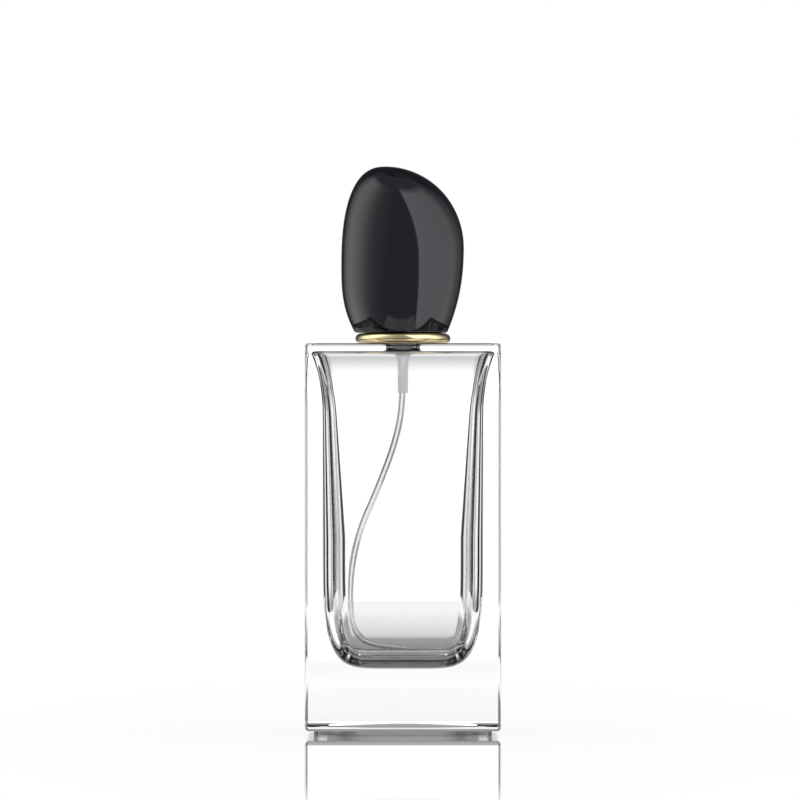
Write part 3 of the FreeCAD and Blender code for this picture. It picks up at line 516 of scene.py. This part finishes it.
def make_tube():
    """The clear dip tube along its route, with its bore."""
    drop = TAIL_FOOT - BASE_THICKNESS
    route = [(0, 0, TUBE_STOP * MM)]
    for across, down in TUBE_ROUTE:
        route.append((across * HOLLOW_HALF[0] * MM, 0, (TAIL_FOOT - down * drop) * MM))
    return sweep("dip_tube_clear", spline_points(route), (TUBE_WIDTH / 2, TUBE_BORE / 2), TUBE_POINTS)


def make_spring(name, foot, length, width, wire, turns):
    """A round-wire spring about the upright axis."""
    path = []
    steps = turns * WIRE_STEPS_PER_TURN
    radius = (width - wire) / 2
    for step in range(steps + 1):
        angle = 2 * math.pi * turns * step / steps
        rise = foot + wire / 2 + (length - wire) * step / steps
        path.append(Vector((radius * math.cos(angle), radius * math.sin(angle), rise)) * MM)
    return sweep(name, path, (wire / 2,), WIRE_POINTS)


# ---------------------------------------------------------------- materials

def new_material(name):
    """A node material with its Principled shader."""
    material = bpy.data.materials.new(name)
    material.use_nodes = True
    return material, material.node_tree, material.node_tree.nodes["Principled BSDF"]


def add_math(tree, operation, *values):
    """A math node over sockets and numbers."""
    node = tree.nodes.new("ShaderNodeMath")
    node.operation = operation
    for socket, given in zip(node.inputs, values):
        if isinstance(given, (int, float)):
            socket.default_value = given
        else:
            tree.links.new(given, socket)
    return node.outputs[0]


def add_noise(tree, scale, detail, stretch=(1, 1, 1)):
    """The strength of a noise texture over the object's own coordinates."""
    place = tree.nodes.new("ShaderNodeTexCoord")
    scaling = tree.nodes.new("ShaderNodeMapping")
    scaling.inputs["Scale"].default_value = stretch
    noise = tree.nodes.new("ShaderNodeTexNoise")
    noise.inputs["Scale"].default_value = scale
    noise.inputs["Detail"].default_value = detail
    tree.links.new(place.outputs["Object"], scaling.inputs["Vector"])
    tree.links.new(scaling.outputs["Vector"], noise.inputs["Vector"])
    return noise.outputs["Fac"]


def add_bump(tree, shader, height, strength, distance):
    """Bump on a shader from a height output."""
    bump = tree.nodes.new("ShaderNodeBump")
    bump.inputs["Strength"].default_value = strength
    bump.inputs["Distance"].default_value = distance
    tree.links.new(height, bump.inputs["Height"])
    tree.links.new(bump.outputs["Normal"], shader.inputs["Normal"])


def vary(tree, source, target, low, high):
    """Map a noise output to a range on a shader socket."""
    span = tree.nodes.new("ShaderNodeMapRange")
    span.inputs["To Min"].default_value = low
    span.inputs["To Max"].default_value = high
    tree.links.new(source, span.inputs["Value"])
    tree.links.new(span.outputs["Result"], target)


def vary_colour(tree, source, target, dark, light):
    """Mix two colours by a noise output."""
    ramp = tree.nodes.new("ShaderNodeValToRGB")
    ramp.color_ramp.elements[0].position = 0.35
    ramp.color_ramp.elements[1].position = 0.65
    ramp.color_ramp.elements[0].color = (*dark, 1)
    ramp.color_ramp.elements[1].color = (*light, 1)
    tree.links.new(source, ramp.inputs["Fac"])
    tree.links.new(ramp.outputs["Color"], target)


def fade_by_height(tree, low, high, below, above, target):
    """Fade a shader value between two heights in millimetres, and return the coordinate-splitting node."""
    place = tree.nodes.new("ShaderNodeTexCoord")
    split = tree.nodes.new("ShaderNodeSeparateXYZ")
    fade = tree.nodes.new("ShaderNodeMapRange")
    fade.inputs["From Min"].default_value = low * MM
    fade.inputs["From Max"].default_value = high * MM
    fade.inputs["To Min"].default_value = below
    fade.inputs["To Max"].default_value = above
    tree.links.new(place.outputs["Object"], split.inputs[0])
    tree.links.new(split.outputs["Z"], fade.inputs["Value"])
    tree.links.new(fade.outputs["Result"], target)
    return split


def glass_material():
    """Clear pressed glass with a faint slow waviness and a stippled foot and recess wall."""
    material, tree, shader = new_material("clear_glass_look")
    shader.inputs["Base Color"].default_value = (1.0, 1.0, 1.0, 1)
    shader.inputs["Transmission Weight"].default_value = 1.0
    shader.inputs["IOR"].default_value = 1.5
    stipple = tree.nodes.new("ShaderNodeMath")
    stipple.operation = "MULTIPLY"
    split = fade_by_height(tree, *STIPPLE_FADE, STIPPLE_ROUGHNESS, 0, stipple.inputs[0])
    within = []
    for axis, size in (("X", BODY_WIDTH), ("Y", BODY_DEPTH)):
        reach = (size / 2 - FOOT_INSET + STIPPLE_MARGIN) * MM
        within.append(add_math(tree, "LESS_THAN", add_math(tree, "ABSOLUTE", split.outputs[axis]), reach))
    tree.links.new(add_math(tree, "MULTIPLY", *within), stipple.inputs[1])
    tree.links.new(stipple.outputs[0], shader.inputs["Roughness"])
    waves = add_noise(tree, 90, 1.0, (1, 1, 0.35))
    add_bump(tree, shader, waves, 0.05, 0.0006)
    return material


def lacquer_material():
    """High-gloss black lacquer with a very slight orange peel."""
    material, tree, shader = new_material("black_lacquer_look")
    shader.inputs["Base Color"].default_value = (0.004, 0.004, 0.005, 1)
    shader.inputs["Specular Tint"].default_value = (0.93, 0.92, 1.0, 1)
    shader.inputs["IOR"].default_value = 1.5
    shader.inputs["Roughness"].default_value = 0.06
    peel = add_noise(tree, 700, 2.0)
    add_bump(tree, shader, peel, 0.03, 0.0002)
    return material


def gold_material():
    """Pale gold anodised aluminium, drawn, with faint turning marks around the axis."""
    material, tree, shader = new_material("gold_look")
    shader.inputs["Metallic"].default_value = 1.0
    marks = add_noise(tree, 160, 4.0, (1, 1, 14))
    vary_colour(tree, marks, shader.inputs["Base Color"], (0.78, 0.62, 0.34), (0.86, 0.71, 0.43))
    vary(tree, marks, shader.inputs["Roughness"], 0.10, 0.2)
    add_bump(tree, shader, marks, 0.05, 0.0001)
    return material


def metal_material(name, colour, rough):
    """Bare drawn metal."""
    material, tree, shader = new_material(name)
    shader.inputs["Metallic"].default_value = 1.0
    marks = add_noise(tree, 300, 4.0, (1, 1, 8))
    darker = tuple(0.88 * part for part in colour)
    vary_colour(tree, marks, shader.inputs["Base Color"], darker, colour)
    vary(tree, marks, shader.inputs["Roughness"], rough * 0.8, rough * 1.3)
    add_bump(tree, shader, marks, 0.08, 0.0001)
    return material


def plastic_material(name, colour, rough, scatter=0.0, clear=0.0, glow=0.0):
    """Moulded plastic, with scattering or clearness where it is translucent, and a painted glow that stands
    in for light through it.
    """
    material, tree, shader = new_material(name)
    grain = add_noise(tree, 900, 3.0)
    darker = tuple(0.95 * part for part in colour)
    vary_colour(tree, grain, shader.inputs["Base Color"], darker, colour)
    vary(tree, grain, shader.inputs["Roughness"], rough * 0.85, rough * 1.15)
    shader.inputs["IOR"].default_value = 1.5
    shader.inputs["Subsurface Weight"].default_value = scatter
    shader.inputs["Subsurface Radius"].default_value = (0.004, 0.004, 0.0035)
    shader.inputs["Transmission Weight"].default_value = clear
    # Painted glow: emission that stands in for light reaching the plastic through the glass, fading out under
    # the hollow's ceiling.
    if glow:
        fade_by_height(tree, *PAINTED_GLOW_FADE, glow, 0, shader.inputs["Emission Strength"])
    add_bump(tree, shader, grain, 0.06, 0.0001)
    return material


def make_materials():
    """One material for each of the record's slots."""
    return {
        "clear_glass": glass_material(),
        "gold": gold_material(),
        "ferrule_metal": metal_material("ferrule_look", (0.80, 0.80, 0.81), 0.28),
        "black_lacquer": lacquer_material(),
        "liner_plastic": plastic_material("liner_look", (0.86, 0.86, 0.83), 0.4, scatter=0.3),
        # The pump housing has a painted glow: emission that stands in for light through the glass.
        "pump_plastic": plastic_material("pump_look", (0.95, 0.96, 0.97), 0.2, clear=0.35, glow=0.17),
        "insert_plastic": plastic_material("insert_look", (0.82, 0.82, 0.79), 0.4, scatter=0.3),
        "tube_plastic": plastic_material("tube_look", (0.97, 0.98, 0.99), 0.02, clear=0.97),
        "seal": plastic_material("seal_look", (0.035, 0.035, 0.038), 0.65),
        "steel": metal_material("steel_look", (0.62, 0.62, 0.63), 0.18),
        "button_plastic": plastic_material("button_look", (0.84, 0.84, 0.82), 0.3, scatter=0.2),
        "nozzle_plastic": plastic_material("nozzle_look", (0.76, 0.76, 0.74), 0.35, scatter=0.2),
    }


# ---------------------------------------------------------------- stage, light and camera

FRONT = BODY_DEPTH / 2 * MM
CAMERA_DISTANCE = 1.43
CAMERA_HEIGHT = 0.09087
CAMERA_ASIDE = -0.0008
FOCAL = 238.3
SENSOR_WIDTH = 36
CLIP_END = 20
TABLE_HALF_WIDTH = 0.15
TABLE_FRONT = -0.31
TABLE_BEHIND = 0.43
# The table's polish is full up to a share of these reaches along X and Y, and gone beyond them.
POLISH_REACH = (0.13, 0.3)
POLISH_FULL = 0.6


def make_camera():
    """A level long-lens camera in front of the bottle."""
    data = bpy.data.cameras.new("camera")
    data.lens = FOCAL
    data.sensor_width = SENSOR_WIDTH
    data.clip_end = CLIP_END
    camera = bpy.data.objects.new("camera", data)
    camera.location = (CAMERA_ASIDE, -FRONT - CAMERA_DISTANCE, CAMERA_HEIGHT)
    camera.rotation_euler = (math.pi / 2, 0, 0)
    bpy.context.scene.collection.objects.link(camera)
    bpy.context.scene.camera = camera


def floor_material():
    """Mirror-like white polish that fades to plain glowing white towards the table's edges."""
    material, tree, shader = new_material("floor_look")
    shader.inputs["Base Color"].default_value = (0.95, 0.95, 0.95, 1)
    shader.inputs["Metallic"].default_value = 0.6
    shader.inputs["Roughness"].default_value = 0.02
    shader.inputs["IOR"].default_value = 1.5
    place = tree.nodes.new("ShaderNodeTexCoord")
    squeeze = tree.nodes.new("ShaderNodeMapping")
    squeeze.inputs["Scale"].default_value = (1 / POLISH_REACH[0], 1 / POLISH_REACH[1], 0)
    reach = tree.nodes.new("ShaderNodeVectorMath")
    reach.operation = "LENGTH"
    fade = tree.nodes.new("ShaderNodeMapRange")
    fade.interpolation_type = "SMOOTHSTEP"
    fade.inputs["From Min"].default_value = POLISH_FULL
    glow = tree.nodes.new("ShaderNodeEmission")
    mix = tree.nodes.new("ShaderNodeMixShader")
    tree.links.new(place.outputs["Object"], squeeze.inputs["Vector"])
    tree.links.new(squeeze.outputs["Vector"], reach.inputs[0])
    tree.links.new(reach.outputs["Value"], fade.inputs["Value"])
    tree.links.new(fade.outputs["Result"], mix.inputs["Fac"])
    tree.links.new(shader.outputs["BSDF"], mix.inputs[1])
    tree.links.new(glow.outputs["Emission"], mix.inputs[2])
    tree.links.new(mix.outputs["Shader"], tree.nodes["Material Output"].inputs["Surface"])
    return material


def make_floor():
    """The table top under the bottle, part of the stage."""
    mesh = bmesh.new()
    back = TABLE_BEHIND - FRONT
    for side, y in ((-1, TABLE_FRONT), (1, TABLE_FRONT), (1, back), (-1, back)):
        mesh.verts.new((side * TABLE_HALF_WIDTH, y, 0))
    mesh.faces.new(mesh.verts)
    data = bpy.data.meshes.new("floor")
    mesh.to_mesh(data)
    mesh.free()
    data.materials.append(floor_material())
    floor = bpy.data.objects.new("floor", data)
    bpy.context.scene.collection.objects.link(floor)


def add_bands(tree, angle, low, high, bands):
    """Brightness by angle: a ramp of (degrees, brightness) stops from low to high, the darker ones bluer."""
    ramp = tree.nodes.new("ShaderNodeValToRGB")
    stops = ramp.color_ramp.elements
    for degrees, grey in bands:
        ends = {low: stops[0], high: stops[len(stops) - 1]}
        stop = ends[degrees] if degrees in ends else stops.new((degrees - low) / (high - low))
        stop.color = (grey ** 1.08, grey ** 1.02, grey ** 0.97, 1) if grey < 1 else (grey, grey, grey, 1)
    turn = math.radians(high - low)
    share = add_math(tree, "MULTIPLY_ADD", angle, 1 / turn, -math.radians(low) / turn)
    tree.links.new(share, ramp.inputs["Fac"])
    return ramp.outputs["Color"]


def add_mix(tree, share, first, second):
    """A colour mix of two sockets by the share of the second."""
    mix = tree.nodes.new("ShaderNodeMixRGB")
    tree.links.new(share, mix.inputs["Fac"])
    tree.links.new(first, mix.inputs["Color1"])
    tree.links.new(second, mix.inputs["Color2"])
    return mix.outputs["Color"]


# Stops are (degrees, brightness). Around the bottle, 0 is straight behind it and 180 straight in front. Up
# and down, 0 is level. Glass sees white panels with black gaps between them.
GLASS_BANDS = ((0, 1.25), (11.5, 1.25), (13, 0.5), (16, 0), (25, 0), (28, 0.5), (33, 0.9), (49, 0.9),
               (52, 0), (73, 0), (79, 0.95), (100, 0.95), (106, 0.3), (180, 0.3))
# The panels that the glass sees are full near the level, with darker room above and below them.
GLASS_HEIGHTS = ((-90, 0.4), (-20, 0.4), (-10, 0.45), (-8.5, 0.55), (-7, 0.78), (-5, 1), (6, 1), (9, 0.35),
                 (20, 0.3), (40, 0.25), (90, 0.12))
# Gloss sees a tall softbox on each side, with dim room in front and dark room behind.
GLOSS_BANDS = ((-180, 0.36), (-156, 0.36), (-140, 0.5), (-128, 0.65), (-116, 1.0), (-103, 1.6), (-89, 2.0),
               (-73, 1.9), (-53, 0.8), (-38, 0.1), (0, 0.05), (38, 0.1), (62, 0.6), (80, 1.5), (108, 1.9),
               (125, 2.0), (152, 2.25), (154.5, 0.36), (180, 0.36))
SOFTBOX_HEIGHTS = ((-90, 0), (-50, 0), (-20, 1), (56, 1), (66, 0), (90, 0))
SOFTBOX_SLANT = 0.3
ROOM = ((-180, 0.45), (-70, 0.35), (0, 0.05), (70, 0.35), (180, 0.45))
# A white backdrop for the gloss stands straight behind the bottle and fades out above and below.
BACKDROP_WIDTH = ((0, 1), (8, 1), (12, 0), (180, 0))
BACKDROP_HEIGHT = ((-90, 0), (-6, 1), (6, 1), (12, 0.85), (20, 0.6), (24, 0), (90, 0))
WHITE = ((0, 1), (180, 1))
BLACK = ((0, 0), (180, 0))


def gloss_light(tree, turned, aside, raised, white):
    """What gloss sees: softboxes that lean, in a dim room, with a white backdrop behind the bottle."""
    room = add_bands(tree, turned, -180, 180, ROOM)
    lean = add_math(tree, "MULTIPLY", raised, SOFTBOX_SLANT)
    leaning = add_math(tree, "MULTIPLY", lean, add_math(tree, "SIGN", turned))
    softboxes = add_bands(tree, add_math(tree, "SUBTRACT", turned, leaning), -180, 180, GLOSS_BANDS)
    boxes = add_mix(tree, add_bands(tree, raised, -90, 90, SOFTBOX_HEIGHTS), room, softboxes)
    backdrop = add_mix(tree, add_bands(tree, raised, -90, 90, BACKDROP_HEIGHT), boxes, white)
    return add_mix(tree, add_bands(tree, aside, 0, 180, BACKDROP_WIDTH), boxes, backdrop)


def glass_light(tree, aside, raised):
    """What is seen through glass: panels, black gaps and a darker room above and below."""
    panels = add_bands(tree, aside, 0, 180, GLASS_BANDS)
    heights = add_bands(tree, raised, -90, 90, GLASS_HEIGHTS)
    return add_mix(tree, heights, add_bands(tree, aside, 0, 180, BLACK), panels)


def make_world():
    """White studio light: plain white, but with panels for what gloss and glass see."""
    world = bpy.data.worlds.new("studio")
    bpy.context.scene.world = world
    world.use_nodes = True
    tree = world.node_tree
    place = tree.nodes.new("ShaderNodeTexCoord")
    split = tree.nodes.new("ShaderNodeSeparateXYZ")
    tree.links.new(place.outputs["Generated"], split.inputs[0])
    turned = add_math(tree, "ARCTAN2", split.outputs["X"], split.outputs["Y"])
    aside = add_math(tree, "ABSOLUTE", turned)
    raised = add_math(tree, "ARCSINE", split.outputs["Z"])
    rays = tree.nodes.new("ShaderNodeLightPath")
    white = add_bands(tree, aside, 0, 180, WHITE)
    gloss = gloss_light(tree, turned, aside, raised, white)
    glass = glass_light(tree, aside, raised)
    # A ray through glass counts as glossy too, so the glass is mixed in last.
    seen = add_mix(tree, rays.outputs["Is Glossy Ray"], white, gloss)
    seen = add_mix(tree, rays.outputs["Is Transmission Ray"], seen, glass)
    tree.links.new(seen, tree.nodes["Background"].inputs["Color"])


def make_studio():
    """Stage, light, camera and colour transform."""
    make_camera()
    make_floor()
    make_world()
    bpy.context.scene.view_settings.view_transform = "Standard"


# ---------------------------------------------------------------- assembly

def dress(piece, body, slot, materials, *nodes):
    """Give a piece the material of a slot, let it ride on a body and hide the CAD nodes that it stands for.
    """
    piece.data.materials.clear()
    piece.data.materials.append(materials[slot])
    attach(piece, body)
    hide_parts(*nodes)


def dress_nodes(frame, materials):
    """Give each CAD node that stays the material of its slot."""
    slots = {part["node"]: part["material_slot"] for part in frame["record"]["subparts"]}
    for name, node in frame["nodes"].items():
        node.data.materials.clear()
        node.data.materials.append(materials[slots[name]])


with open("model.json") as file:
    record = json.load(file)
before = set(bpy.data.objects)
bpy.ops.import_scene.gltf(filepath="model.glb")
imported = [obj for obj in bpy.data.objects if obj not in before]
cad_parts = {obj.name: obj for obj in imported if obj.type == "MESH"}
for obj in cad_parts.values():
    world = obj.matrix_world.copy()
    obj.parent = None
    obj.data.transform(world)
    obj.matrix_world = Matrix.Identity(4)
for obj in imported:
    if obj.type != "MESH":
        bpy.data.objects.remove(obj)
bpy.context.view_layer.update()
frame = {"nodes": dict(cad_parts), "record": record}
make_studio()
looks = make_materials()
dress_nodes(frame, looks)
dress(make_glass(), "bottle", "clear_glass", looks, "glass_bottle")
dress(make_cap(), "cap", "black_lacquer", looks, "cap_shell")
dress(make_collar(), "bottle", "gold", looks, "collar_ring")
dress(make_housing(), "bottle", "pump_plastic", looks, "pump_housing")
dress(make_tube(), "bottle", "tube_plastic", looks, "dip_tube")
return_coil = make_spring(
    "return_coil", CHAMBER_FLOOR, RETURN_LENGTH, RETURN_WIDTH, RETURN_WIRE, RETURN_TURNS)
dress(return_coil, "bottle", "steel", looks, "return_spring")
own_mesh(return_coil)
piston_coil = make_spring(
    "precompression_coil", SHOULDER_FOOT - PISTON_COIL_LENGTH, PISTON_COIL_LENGTH,
    PISTON_COIL_WIDTH, PISTON_COIL_WIRE, PISTON_COIL_TURNS)
dress(piston_coil, "plunger", "steel", looks, "precompression_spring")
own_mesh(piston_coil)
